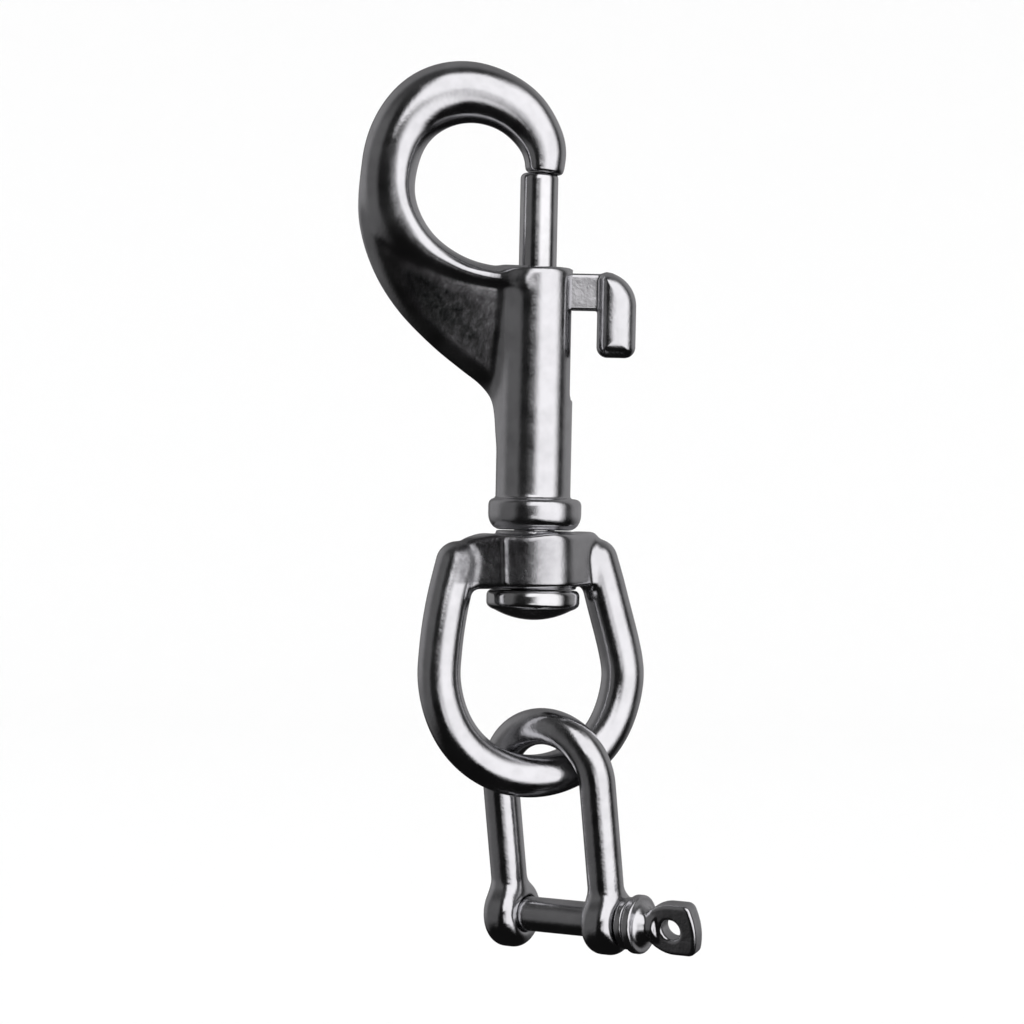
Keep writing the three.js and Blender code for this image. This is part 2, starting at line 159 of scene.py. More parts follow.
# The bail's centreline in its own plane, down from each shoulder: how far out from the stud, and z.
BAIL_LEFT = [
    [11.1, -60.5],
    [11.85, -63.5],
    [12.4, -66.0],
    [13.05, -70.0],
    [13.35, -74.0],
    [13.4, -77.0],
    [11.95, -82.4],
    [8.4, -86.8],
    [4.0, -89.15],
]
BAIL_RIGHT = [
    [9.25, -59.85],
    [10.4, -63.3],
    [11.15, -66.0],
    [12.4, -70.0],
    [13.4, -74.0],
    [13.5, -77.0],
    [12.15, -82.4],
    [8.7, -86.8],
    [4.3, -89.15],
]
BAIL_LOW = -89.75
CROSSBAR_TOP = -56.3
CROSSBAR_BOTTOM = -63.7
CROSSBAR_LEAN = math.radians(2.2)  # its right end stands higher
CROSSBAR_REACH = {"left": 7.9, "right": 6.9}
BOSS_RADIUS = 6.6
END_RADIUS = 2.4
SEAT = {"radius": 5.3, "top": COLLAR_BOTTOM - 0.09}
FOOT = {"radius": 5.9, "bottom": -63.95}
STUD_RADIUS = 2.8
HEAD_TOP = -64.05
HEAD_DOME = 1.6  # how far the head's underside swells

# ---- Shackle ----
SHACKLE_CENTRE = np.array([12.5, 1.2, -90.45])
SHACKLE_YAW = math.radians(33)
SHACKLE_LEAN = math.radians(6)
SHACKLE_SWING = math.radians(10)
SHACKLE_ROD = 2.5
SHACKLE_HALF_WIDTH = 7.85
PIN_DROP = 19.3
EAR_RADIUS = {"left": 4.8, "right": 4.6}
EAR_HALF = 2.55
EAR_ROUND = 2.0
PIN_RADIUS = 2.4
THREAD = {"pitch": 0.8, "depth": 0.28}
# The pin's collars: radius, where each starts and ends past the ear, and the round on its edges.
PIN_COLLARS = [
    [3.6, 0.0, 1.1, 0.25],
    [3.1, 1.0, 1.6, 0.1],
    [4.05, 1.45, 2.7, 0.3],
]
NECK = {"middle": 13.6, "half": 2.3, "radius": 1.9, "flare": 1.0}
# The pin's tab, along the pin: its root, where it starts to widen, its hole and its end.
TAB = {"root": 14.6, "widens": 15.1, "hole": 18.25, "end": 21.3, "end_bulge": 0.75}
TAB_HALF_ROOT = 2.45
TAB_HALF_WIDE = 3.65
TAB_HOLE_RADIUS = 1.4
TAB_TILT = math.radians(5)
TAB_HALF_THICK = 1.2


# ---- Fields ----

class Block:
    """A block of sample points, in millimetres."""

    def __init__(self, low, high, step):
        self.low = np.array(low, float)
        self.step = step
        counts = np.ceil((np.array(high, float) - self.low) / step).astype(int) + 1
        self.axes = [self.low[i] + step * np.arange(counts[i]) for i in range(3)]
        self.x, self.y, self.z = np.meshgrid(*self.axes, indexing="ij", sparse=True)

    def plan(self):
        """The points of the x-z plane, as two full arrays."""
        return np.meshgrid(self.axes[0], self.axes[2], indexing="ij")


def blend(a, b, width):
    """The union of two fields, with a fillet about as wide as width."""
    h = np.clip(0.5 + 0.5 * (b - a) / width, 0, 1)
    return b + (a - b) * h - width * h * (1 - h)


def cut(a, b, width=0.15):
    """Field a without field b, with its new edges rounded."""
    return -blend(-a, b, width)


def both(a, b, width=0.15):
    """Where fields a and b meet, with its edges rounded."""
    return -blend(-a, -b, width)


def rounded(u, v, half_u, half_v, radius):
    """Distance from a rectangle with round corners, in the plane of u and v."""
    du = np.abs(u) - half_u + radius
    dv = np.abs(v) - half_v + radius
    outside = np.hypot(np.maximum(du, 0), np.maximum(dv, 0))
    return outside + np.minimum(np.maximum(du, dv), 0) - radius


def as_distance(field, step):
    """A field scaled so that near its surface it measures distance."""
    slope = np.sqrt(sum(part ** 2 for part in np.gradient(field, step)))
    return field / np.maximum(slope, 0.25 * np.median(slope))


def soften(plan):
    """A plan of values, each averaged with its neighbours."""
    for _ in range(3):
        for axis in (0, 1):
            count = plan.shape[axis]
            wide = np.pad(plan, [(1, 1) if k == axis else (0, 0) for k in (0, 1)], mode="edge")
            before = np.take(wide, range(count), axis)
            after = np.take(wide, range(2, count + 2), axis)
            plan = plan / 2 + (before + after) / 4
    return plan


def spline(points, count):
    """A smooth curve through the points, with count steps between each pair."""
    p = np.array(points, float)
    p = np.vstack([2 * p[0] - p[1], p, 2 * p[-1] - p[-2]])
    t = np.linspace(0, 1, count, endpoint=False)[:, None]
    rows = []
    for a, b, c, d in zip(p[:-3], p[1:-2], p[2:-1], p[3:]):
        rows.append(0.5 * (2 * b + (c - a) * t + (2 * a - 5 * b + 4 * c - d) * t ** 2
                           + (3 * b - a - 3 * c + d) * t ** 3))
    return np.vstack(rows + [p[-2]])


def smoothed(rows, reach):
    """Rows averaged with their neighbours, straight on past both ends."""
    weights = np.hanning(2 * reach + 3)[1:-1]
    before = 2 * rows[0] - rows[reach:0:-1]
    after = 2 * rows[-1] - rows[-2:-reach - 2:-1]
    padded = np.vstack([before, rows, after])
    return np.stack([np.convolve(column, weights / weights.sum(), "valid") for column in padded.T], axis=1)


def line_distance(x, z, path):
    """Distance from a broken line in the x-z plane, and how far along it the nearest point is."""
    best = np.full(x.shape, 1e9)
    along = np.zeros(x.shape)
    for i in range(len(path) - 1):
        a = path[i]
        d = path[i + 1] - a
        t = np.clip(((x - a[0]) * d[0] + (z - a[1]) * d[1]) / (d @ d), 0, 1)
        gap = (x - a[0] - t * d[0]) ** 2 + (z - a[1] - t * d[1]) ** 2
        nearer = gap < best
        best = np.where(nearer, gap, best)
        along = np.where(nearer, i + t, along)
    return np.sqrt(best), along


def inside_outline(x, z, path):
    """True at the points inside a closed outline."""
    inside = np.zeros(x.shape, bool)
    for a, b in zip(path, np.roll(path, -1, axis=0)):
        crosses = (a[1] > z) != (b[1] > z)
        if a[1] != b[1]:
            inside ^= crosses & (x < (b[0] - a[0]) * (z - a[1]) / (b[1] - a[1]) + a[0])
    return inside


# ---- Meshes ----

CORNERS = np.array([[i, j, k] for i in (0, 1) for j in (0, 1) for k in (0, 1)])


def sample(values, places):
    """Values between the sample points of a block."""
    base = np.clip(places.astype(int), 0, np.array(values.shape) - 2)
    part = places - base
    total = 0
    for corner in CORNERS:
        weight = np.prod(np.where(corner, part, 1 - part), axis=1)
        total = total + weight * values[tuple((base + corner).T)]
    return total


def surface(field, block):
    """The points, quads and normals of the surface where a field passes zero."""
    inside = field < 0
    shape = np.array(field.shape) - 1
    filled = sum(
        inside[i:i + shape[0], j:j + shape[1], k:k + shape[2]].astype(np.int8) for i, j, k in CORNERS
    )
    mixed = (filled > 0) & (filled < 8)
    cells = np.argwhere(mixed)
    ids = np.full(mixed.shape, -1)
    ids[mixed] = np.arange(len(cells))

    total = np.zeros((len(cells), 3))
    number = np.zeros((len(cells), 1))
    for a in CORNERS:
        for axis in range(3):
            if a[axis]:
                continue
            b = a.copy()
            b[axis] = 1
            fa = field[tuple((cells + a).T)]
            fb = field[tuple((cells + b).T)]
            crosses = (fa < 0) != (fb < 0)
            share = np.where(crosses, fa / np.where(crosses, fa - fb, 1), 0)[:, None]
            total += crosses[:, None] * (a + (b - a) * share)
            number += crosses[:, None]
    places = cells + total / number

    quads = []
    for axis in range(3):
        u, v = (axis + 1) % 3, (axis + 2) % 3
        along = np.moveaxis(inside, (axis, u, v), (0, 1, 2))
        found = np.argwhere(along[:-1, 1:-1, 1:-1] != along[1:, 1:-1, 1:-1]) + [0, 1, 1]
        leaves = along[tuple(found.T)]
        ring = []
        for du, dv in ((-1, -1), (0, -1), (0, 0), (-1, 0)):
            cell = np.empty_like(found)
            cell[:, axis] = found[:, 0]
            cell[:, u] = found[:, 1] + du
            cell[:, v] = found[:, 2] + dv
            ring.append(ids[tuple(cell.T)])
        ring = np.stack(ring, axis=1)
        quads.append(np.where(leaves[:, None], ring, ring[:, ::-1]))
    quads = np.vstack(quads)

    slopes = np.gradient(field)
    for _ in range(4):
        slope = np.stack([sample(part, places) for part in slopes], axis=1)
        size = np.maximum((slope ** 2).sum(axis=1, keepdims=True), 1e-12)
        step = sample(field, places)[:, None] * slope / size
        places = places - np.clip(step, -0.5, 0.5)
    normals = np.stack([sample(part, places) for part in slopes], axis=1)
    normals /= np.maximum(np.linalg.norm(normals, axis=1, keepdims=True), 1e-9)
    return block.low + places * block.step, quads, normals


def mesh_object(name, points, faces, normals, turn=None, shift=(0, 0, 0)):
    """A smooth mesh from points in millimetres, turned and then shifted to its place."""
    turn = np.eye(3) if turn is None else turn
    points = (points @ turn.T + np.array(shift)) * MM
    mesh = bpy.data.meshes.new(name)
    mesh.vertices.add(len(points))
    mesh.vertices.foreach_set("co", points.astype(np.float32).ravel())
    mesh.loops.add(faces.size)
    mesh.loops.foreach_set("vertex_index", faces.astype(np.int32).ravel())
    mesh.polygons.add(len(faces))
    mesh.polygons.foreach_set("loop_start", np.arange(0, faces.size, faces.shape[1], dtype=np.int32))
    mesh.update(calc_edges=True)
    mesh.validate()
    mesh.shade_smooth()
    mesh.normals_split_custom_set_from_vertices((normals @ turn.T).tolist())
    thing = bpy.data.objects.new(name, mesh)
    bpy.context.scene.collection.objects.link(thing)
    return thing


def place(piece, node, body, material):
    """Puts a piece in its node's stead, on its body, with its finish."""
    piece.data.materials.append(material)
    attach(piece, body)
    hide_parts(node)
    return piece


def rotation(axis, angle):
    return np.array(Matrix.Rotation(angle, 3, axis))


# ---- Hook body ----

def eye_bar(block):
    """The bar round the eye: two half sections that meet at a ridge."""
    x, z = block.plan()
    rows = smoothed(spline(EYE_BAR, 12), 9)
    inner, outer = rows[:, 0:2], rows[:, 2:4]
    _, along = line_distance(x, z, (inner + outer) / 2)
    at = [np.interp(along, np.arange(len(rows)), rows[:, k]) for k in range(6)]
    width = np.hypot(at[2] - at[0], at[3] - at[1])
    share = ((x - at[0]) * (at[2] - at[0]) + (z - at[1]) * (at[3] - at[1])) / width ** 2
    ridge = at[5]
    across = np.where(share < ridge, (ridge - share) / ridge, (share - ridge) / (1 - ridge))
    across, half_depth = soften(across), soften(at[4])
    depth = np.abs(block.y) / half_depth[:, None, :]
    section = (across[:, None, :] ** BAR_POWER + depth ** BAR_POWER) ** (1 / BAR_POWER) - 1
    section = as_distance(section, block.step)
    start, end = (inner[0] + outer[0]) / 2, (inner[-1] + outer[-1]) / 2
    first = (inner[1] + outer[1]) / 2 - start
    last = end - (inner[-2] + outer[-2]) / 2
    before = -((x - start[0]) * first[0] + (z - start[1]) * first[1]) / np.linalg.norm(first)
    after = ((x - end[0]) * last[0] + (z - end[1]) * last[1]) / np.linalg.norm(last)
    stop = np.where(along < 4, before, np.where(along > len(rows) - 5, after, -9.0))
    return both(section, stop[:, None, :] + 0 * block.y, 0.9)


def web(block):
    """The web between the eye and the barrel, which swells from its free edge inwards."""
    x, z = block.plan()
    edge = spline(WEB_EDGE, 10)
    outline = np.vstack([edge, WEB_INSIDE])
    inside = inside_outline(x, z, outline)
    from_edge, _ = line_distance(x, z, edge)
    from_outline, _ = line_distance(x, z, np.vstack([outline, outline[:1]]))
    beyond = ~inside & (from_edge < from_outline + 0.01)
    signed = np.where(beyond, -from_edge, from_edge)
    half_depth = WEB_THIN + WEB_SWELL * np.tanh(np.clip(signed, 0, None) / WEB_REACH)
    rise = np.clip(1 - signed / WEB_ROUND, 0, None)
    swell = np.sqrt(rise[:, None, :] ** 2 + (block.y / half_depth[:, None, :]) ** 2) - 1
    closed = np.where(inside, -from_outline, from_outline)
    return np.maximum(as_distance(swell, block.step), closed[:, None, :] + 0 * block.y)


def collar_radius(z):
    """The collar's outline: a small round at its top, and a larger one at its foot."""
    top, foot = COLLAR_TOP_ROUND, COLLAR_FOOT_ROUND
    up = np.clip((z - (COLLAR_TOP - top["height"])) / top["height"], 0, 1)
    down = np.clip((COLLAR_BOTTOM + foot["height"] - z) / foot["height"], 0, 1)
    radius = COLLAR_RADIUS - top["depth"] * (1 - np.sqrt(1 - up ** 2 * 0.98))
    return radius - foot["depth"] * (1 - np.sqrt(1 - down ** 2 * 0.98))


def hook_field(block):
    """The casting: bar, web, barrel and collar, less the bore, the stud's hole, socket and slot."""
    x, y, z = block.x - AXIS_X, block.y, block.z
    radial = np.hypot(x, y)
    stud_radial = np.hypot(block.x - SWIVEL_X, y)
    barrel_middle = (BARREL_TOP + COLLAR_BOTTOM) / 2
    barrel_half = (BARREL_TOP - COLLAR_BOTTOM) / 2 - 0.5
    barrel = rounded(radial, z - barrel_middle - 0.5, BARREL_RADIUS, barrel_half, BARREL_EDGE)
    collar_half = (COLLAR_TOP - COLLAR_BOTTOM) / 2
    ends = np.abs(z - (COLLAR_TOP + COLLAR_BOTTOM) / 2) - collar_half
    collar = both(stud_radial - collar_radius(z), ends, 0.3)
    plate = blend(eye_bar(block), web(block), 0.8)
    body = blend(blend(plate, barrel, 1.3), collar, 0.25)
    stud_room = STUD_HIGH[2] + RUNNING_GAP
    bore = np.maximum(radial - BORE_RADIUS, np.maximum(z - BARREL_TOP - 1, stud_room - z))
    body = cut(body, bore, 0.25)
    body = cut(body, np.maximum(stud_radial - STUD_RADIUS - 0.1, z - stud_room - 0.1), 0.15)
    socket_radius, socket_half = BOLT_HIGH[1] + SOCKET["round_bolt"], SOCKET["depth"] / 2
    socket_middle = BOLT_HIGH[2] + SOCKET["above_bolt"] - socket_half
    socket = rounded(radial, z - socket_middle, socket_radius, socket_half, SOCKET["corner"])
    body = cut(body, np.maximum(socket, SOCKET["lowest"] - z), 0.2)
    slot_half = (SLOT_TOP - SLOT_BOTTOM) / 2
    slot = rounded(y, z - (SLOT_TOP + SLOT_BOTTOM) / 2, SLOT_HALF, slot_half, SLOT_ROUND)
    return cut(body, np.maximum(slot, 1 - x), 0.25)


def hook_body():
    block = Block(HOOK_LOW - 0.7, HOOK_HIGH + 0.7, 0.27)
    return mesh_object("hook_casting", *surface(hook_field(block), block))


# ---- Plunger, lever and spring ----

def plunger_bolt():
    """The bolt, well rounded at its tip, with a spigot at its foot that holds the spring."""
    radius, top, foot = BOLT_HIGH[1], BOLT_HIGH[2], BOLT_LOW[2]
    block = Block(BOLT_LOW - MARGIN, BOLT_HIGH + MARGIN, 0.16)
    radial = np.hypot(block.x - AXIS_X, block.y)
    height, half = block.z - (top + BOLT_SEAT) / 2, (top - BOLT_SEAT) / 2
    upper = rounded(radial, height, radius, half, BOLT_TIP_ROUND)
    lower = rounded(radial, height, radius, half, 0.25)
    shank = np.where(block.z < BOLT_SEAT + 2, lower, upper)
    spigot_half = (BOLT_SEAT - foot) / 2 + 0.001
    spigot = rounded(radial, block.z - (BOLT_SEAT + foot) / 2, SPIGOT_RADIUS, spigot_half, 0.3)
    return mesh_object("bolt", *surface(np.minimum(shank, spigot), block))


def lever_field(block):
    """The lever: a straight stem into the bolt, and a pad for the thumb."""
    low, high = box_mm("thumb_lever")
    x, y, z = block.x, block.y, block.z
    stem_middle = (low[0] + PAD_LEFT + 2) / 2
    stem_half = (PAD_LEFT + 2 - low[0]) / 2
    section_half = (STEM_TOP - STEM_BOTTOM) / 2
    section = rounded(y, z - (STEM_TOP + STEM_BOTTOM) / 2, STEM_HALF_DEPTH, section_half, 0.45)
    stem = both(section, np.abs(x - stem_middle) - stem_half, 0.3)
    # The pad's outline: straight sides, a round sole and a quarter-round brow.
    width = high[0] - PAD_LEFT
    crown = width - 0.6
    middle_x = (PAD_LEFT + high[0]) / 2
    sole = rounded(x - middle_x, z - (low[2] + high[2]) / 2, width / 2, (high[2] - low[2]) / 2, 1.5)
    corner_x, corner_z = high[0] - crown, high[2] - crown
    past = (x > corner_x) & (z > corner_z)
    brow = np.where(past, np.hypot(x - corner_x, z - corner_z) - crown, sole)
    outline = np.maximum(sole, brow)
    depth = high[1] * (1 - 0.05 * (x - middle_x))  # deeper on the side towards the stem
    across = np.clip(1 + outline / PAD_ROUND, 0, None)
    pad = np.sqrt(across ** PAD_POWER + np.abs(y / depth) ** PAD_POWER) - 1
    pad = as_distance(pad + 0 * x, block.step)
    return blend(stem, pad, 0.35)


def thumb_lever():
    low, high = box_mm("thumb_lever")
    block = Block(low - MARGIN, high + MARGIN, 0.16)
    return mesh_object("lever", *surface(lever_field(block), block))


def plunger_spring():
    """Round wire wound into a coil with closed ends."""
    steps, sides = 48, 14
    coil = SPRING_HIGH[1] - WIRE_RADIUS
    t = np.linspace(0, 1, SPRING_TURNS * steps + 1)
    settled = np.clip((t - 0.1) / 0.8, 0, 1)
    bottom, top = SPRING_LOW[2] + WIRE_RADIUS, SPRING_HIGH[2] - WIRE_RADIUS
    height = bottom + (top - bottom) * (settled * 0.86 + t * 0.14)
    angle = 2 * math.pi * SPRING_TURNS * t
    around = np.linspace(0, 2 * math.pi, sides, endpoint=False)
    outward = np.stack([np.cos(angle), np.sin(angle), 0 * angle], axis=1)
    centre = outward * coil + np.stack([0 * t + AXIS_X, 0 * t, height], axis=1)
    normals = (outward[:, None, :] * np.cos(around)[None, :, None]
               + np.array([0, 0, 1.0]) * np.sin(around)[None, :, None])
    points = centre[:, None, :] + WIRE_RADIUS * normals
    i, j = np.meshgrid(np.arange(len(t) - 1), np.arange(sides), indexing="ij")
    k = (j + 1) % sides
    near, far = i * sides, (i + 1) * sides
    wall = [near + j, far + j, far + k, near + j, far + k, near + k]
    wall = np.stack(wall, axis=-1).reshape(-1, 3)
    n = np.arange(1, sides - 1)
    cap = np.stack([0 * n, n, n + 1], axis=1)
    last = (len(t) - 1) * sides
    faces = np.vstack([wall, cap, last + cap[:, ::-1]])
    return mesh_object("coil_spring", points.reshape(-1, 3), faces, normals.reshape(-1, 3))


# ---- Swivel ----

def swivel_stud():
    """The stud: a shank in the barrel's foot and a domed head under the bail."""
    block = Block(STUD_LOW - MARGIN, STUD_HIGH + MARGIN, 0.2)
    radial = np.hypot(block.x - SWIVEL_X, block.y)
    z = block.z
    radius, foot = STUD_HIGH[1], STUD_LOW[2]
    middle, half = (HEAD_TOP + foot + HEAD_DOME) / 2, (HEAD_TOP - foot - HEAD_DOME) / 2
    rim = rounded(radial, z - middle, radius, half, 0.8)
    reach = radius - 0.7
    ball = (reach ** 2 + HEAD_DOME ** 2) / (2 * HEAD_DOME)
    under = np.hypot(radial, z - foot - ball) - ball
    under = np.maximum(under, np.maximum(z - middle, radial - reach))
    head = blend(rim, under, 0.35)
    shank_half = (STUD_HIGH[2] - HEAD_TOP + 1) / 2
    shank = rounded(radial, z - STUD_HIGH[2] + shank_half, STUD_RADIUS, shank_half, 0.4)
    return mesh_object("stud", *surface(blend(head, shank, 0.2), block))


def tapered(u, v, wide, narrow, left, right):
    """Distance from a wide circle drawn out to a narrow one on each side."""
    reach = np.where(u < 0, left, right)
    u, v = np.abs(u), np.abs(v)
    lean = (wide - narrow) / reach
    rise = np.sqrt(1 - lean ** 2)
    k = -lean * v + rise * u
    flank = rise * v + lean * u - wide
    return np.where(k < 0, np.hypot(u, v) - wide,
                    np.where(k > rise * reach, np.hypot(u - reach, v) - narrow, flank))


def crossbar(u, v, z):
    """The bail's top bar, which bulges round the stud and falls away a little at its ends."""
    middle, half = (CROSSBAR_TOP + CROSSBAR_BOTTOM) / 2, (CROSSBAR_TOP - CROSSBAR_BOTTOM) / 2
    a, b = math.cos(CROSSBAR_LEAN), math.sin(CROSSBAR_LEAN)
    along, height = u * a + (z - middle) * b, (z - middle) * a - u * b
    reach = CROSSBAR_REACH
    outline = tapered(along, v, BOSS_RADIUS, END_RADIUS, reach["left"], reach["right"])
    drop = np.clip(np.abs(along) - 6.5, 0, None) ** 2 * 0.03
    wave = 0.12 * np.sin(along * 0.9 + 1.0)
    bar = rounded(outline + 3, height + drop / 2 - wave / 2, 3, half - drop / 2 + wave / 2, 0.75)
    seam = np.hypot(along + 5.75, v + 4.15) - 0.27
    return blend(bar, both(seam, np.abs(height) - half + 0.7, 0.3), 0.3)


def swivel_eye():
    """The bail: a round rod bent to a loop, its crossbar, and the boss's seat and foot."""
    block = Block([-17.2, -7.4, BAIL_LOW - 3.6], [17.4, 7.4, SEAT["top"] + 1.1], 0.24)
    u, v, z = block.x, block.y, block.z
    line = [[-reach, height] for reach, height in BAIL_LEFT] + [[0.1, BAIL_LOW]] + BAIL_RIGHT[::-1]
    flat, _ = line_distance(*block.plan(), smoothed(spline(line, 10), 11))
    rod = np.hypot(flat[:, None, :], v) - BAIL_ROD
    radial = np.hypot(u, v)
    seat = rounded(radial, z - SEAT["top"] + 0.8, SEAT["radius"], 0.8, 0.12)
    foot = rounded(radial, z - FOOT["bottom"] - 0.8, FOOT["radius"], 0.8, 0.2)
    body = blend(rod, crossbar(u, v, z), 1.0)
    body = blend(body, np.minimum(seat, foot), 0.1)
    body = cut(body, np.maximum(radial - STUD_RADIUS - RUNNING_GAP, FOOT["bottom"] - 1 - z), 0.2)
    return mesh_object("bail", *surface(body, block), rotation("Z", BAIL_YAW), [SWIVEL_X, 0, 0])


# ---- Shackle ----

def shackle_turn():
    """The shackle's own axes: s along the pin, y out of its plane, z up its legs."""
    lean = rotation("Y", -SHACKLE_LEAN)
    swing = rotation("X", SHACKLE_SWING)
    return lean @ swing @ rotation("Z", -SHACKLE_YAW)


def shackle_bow():
    """The bow: half a ring, two straight legs, and a round ear with the pin's hole at each end."""
    reach = SHACKLE_HALF_WIDTH + 3.6
    top = SHACKLE_HALF_WIDTH + SHACKLE_ROD + 0.7
    block = Block([-reach, -5.2, -PIN_DROP - 5.2], [reach, 5.2, top], 0.22)
    s, y, z = block.x, block.y, block.z
    leg = np.where(z > 0, np.hypot(s, z) - SHACKLE_HALF_WIDTH, np.abs(s) - SHACKLE_HALF_WIDTH)
    below = np.maximum(-z - PIN_DROP, 0)
    bow = np.sqrt(leg ** 2 + y ** 2 + below ** 2) - SHACKLE_ROD
    radial = np.hypot(y, z + PIN_DROP)
    ear_radius = np.where(s < 0, EAR_RADIUS["left"], EAR_RADIUS["right"])
    ears = rounded(radial, np.abs(s) - SHACKLE_HALF_WIDTH, ear_radius, EAR_HALF, EAR_ROUND)
    body = blend(bow, ears, 1.0)
    body = cut(body, radial - PIN_RADIUS - 0.14, 0.3)
    return mesh_object("bow", *surface(body, block), shackle_turn(), SHACKLE_CENTRE)


def shackle_pin():
    """The pin: a threaded end, a shank, collars against the ear, and a pierced tab to turn it by."""
    start = -SHACKLE_HALF_WIDTH - EAR_HALF + RUNNING_GAP
    block = Block([start - 0.6, -4.6, -4.6], [23.0, 4.6, 4.6], 0.145)
    s, y, z = block.x, block.y, block.z
    radial = np.hypot(y, z)
    angle = np.arctan2(z, y) / (2 * math.pi)
    wave = np.abs(((s / THREAD["pitch"] + angle) % 1) - 0.5) * 2
    threaded = np.clip((-SHACKLE_HALF_WIDTH + 2.2 - s) / 0.6, 0, 1)
    shank = radial - PIN_RADIUS + THREAD["depth"] * wave * threaded
    first = SHACKLE_HALF_WIDTH + EAR_HALF + RUNNING_GAP
    body = both(shank, np.maximum(start - s, s - first - 1), 0.5)
    for radius, low, high, edge in PIN_COLLARS:
        middle = first + (low + high) / 2
        body = blend(body, rounded(radial, s - middle, radius, (high - low) / 2, edge), 0.06)
    cone = NECK["radius"] + NECK["flare"] * np.clip((first + 4.0 - s) / 1.4, 0, 1)
    body = blend(body, both(radial - cone, np.abs(s - NECK["middle"]) - NECK["half"], 0.4), 0.5)
    a, b = math.cos(TAB_TILT), math.sin(TAB_TILT)
    w, flat = z * a - y * b, y * a + z * b
    grow = np.clip((s - TAB["widens"]) / 3.2, 0, 1)
    half = TAB_HALF_ROOT + (TAB_HALF_WIDE - TAB_HALF_ROOT) * grow * (2 - grow)
    bulge = TAB["end_bulge"] * (1 - np.clip(w / TAB_HALF_WIDE, -1, 1) ** 2)
    outline = both(np.abs(w) - half, np.maximum(s - TAB["end"] - bulge, TAB["root"] - s), 0.8)
    hole = np.hypot(s - TAB["hole"], w) - TAB_HOLE_RADIUS
    tab = both(cut(outline, hole, 0.3), np.abs(flat) - TAB_HALF_THICK, 0.5)
    body = blend(body, tab, 0.6)
    points, quads, normals = surface(body + 0 * (s + y + z), block)
    points = points - [0, 0, PIN_DROP]
    return mesh_object("pin", points, quads, normals, shackle_turn(), SHACKLE_CENTRE)


# ---- Materials ----

def steel(name, tint, rough, wear, grain, mottle=0.0, skin_and_shade_layer=None, shade=0.22):
    """Stainless steel: rough is the polish, wear the dulled patches, grain the depth of the fine
    surface, mottle the depth of the as-cast skin's dents, and shade the colour multiplied in as
    painted shade, where the named vertex layer asks for it."""
    material = bpy.data.materials.new(name)
    material.use_nodes = True
    tree = material.node_tree
    nodes, links = tree.nodes, tree.links
    shader = nodes["Principled BSDF"]
    shader.inputs["Metallic"].default_value = 1.0

    def noise(scale, detail, roughness=0.55):
        node = nodes.new("ShaderNodeTexNoise")
        node.inputs["Scale"].default_value = scale
        node.inputs["Detail"].default_value = detail
        node.inputs["Roughness"].default_value = roughness
        links.new(where.outputs["Object"], node.inputs["Vector"])
        return node.outputs["Fac"]

    def spread(value, low, high, to_low, to_high):
        node = nodes.new("ShaderNodeMapRange")
        for key, number in zip(("From Min", "From Max", "To Min", "To Max"), (low, high, to_low, to_high)):
            node.inputs[key].default_value = number
        links.new(value, node.inputs["Value"])
        return node.outputs["Result"]

    def maths(kind, a, b):
        node = nodes.new("ShaderNodeMath")
        node.operation = kind
        for socket, value in zip(node.inputs, (a, b)):
            if isinstance(value, (int, float)):
                socket.default_value = value
            else:
                links.new(value, socket)
        return node.outputs[0]

    where = nodes.new("ShaderNodeTexCoord")
    patches = noise(260, 3)
    fine = noise(2600, 4, 0.6)
    waves = noise(620, 2)
    skin = noise(1500, 5, 0.7)
    shade_speckle = noise(900, 4, 0.6)

    ramp = nodes.new("ShaderNodeValToRGB")
    ramp.color_ramp.elements[0].color = (*[c * 0.86 for c in tint], 1)
    ramp.color_ramp.elements[1].color = (*tint, 1)
    ramp.color_ramp.elements[0].position = 0.3
    ramp.color_ramp.elements[1].position = 0.62
    links.new(patches, ramp.inputs["Fac"])

    roughness = spread(patches, 0.35, 0.7, rough, rough + wear)
    height = maths("ADD", maths("MULTIPLY", fine, grain), maths("MULTIPLY", waves, 2 * grain))
    colour = ramp.outputs["Color"]
    if skin_and_shade_layer:
        layer = nodes.new("ShaderNodeAttribute")
        layer.attribute_name = skin_and_shade_layer
        mask = layer.outputs["Fac"]
        roughness = maths("ADD", roughness, maths("MULTIPLY", mask, 0.06))
        dents = maths("MULTIPLY", maths("MULTIPLY", skin, mask), mottle)
        height = maths("ADD", height, dents)
        # Painted shade: the colour is darkened where the layer asks, broken up by a noise.
        dark = nodes.new("ShaderNodeMix")
        dark.data_type = "RGBA"
        dark.blend_type = "MULTIPLY"
        dark.inputs["B"].default_value = (shade, shade, shade * 1.02, 1)
        links.new(maths("MULTIPLY", mask, spread(shade_speckle, 0.3, 0.7, 0.6, 1.0)), dark.inputs["Factor"])
        links.new(colour, dark.inputs["A"])
        colour = dark.outputs["Result"]
    links.new(colour, shader.inputs["Base Color"])
    links.new(roughness, shader.inputs["Roughness"])
    bump = nodes.new("ShaderNodeBump")
    bump.inputs["Strength"].default_value = 1.0
    bump.inputs["Distance"].default_value = MM
    links.new(height, bump.inputs["Height"])
    links.new(bump.outputs["Normal"], shader.inputs["Normal"])
    return material


def paint_layer(piece, layer, weight):
    """Writes a weight from 0 to 1 for each point, worked out from its place in millimetres."""
    count = len(piece.data.vertices)
    places = np.empty(count * 3, np.float32)
    piece.data.vertices.foreach_get("co", places)
    values = weight(places.reshape(-1, 3) / MM)
    attribute = piece.data.attributes.new(layer, "FLOAT", "POINT")
    attribute.data.foreach_set("value", np.clip(values, 0, 1).astype(np.float32))


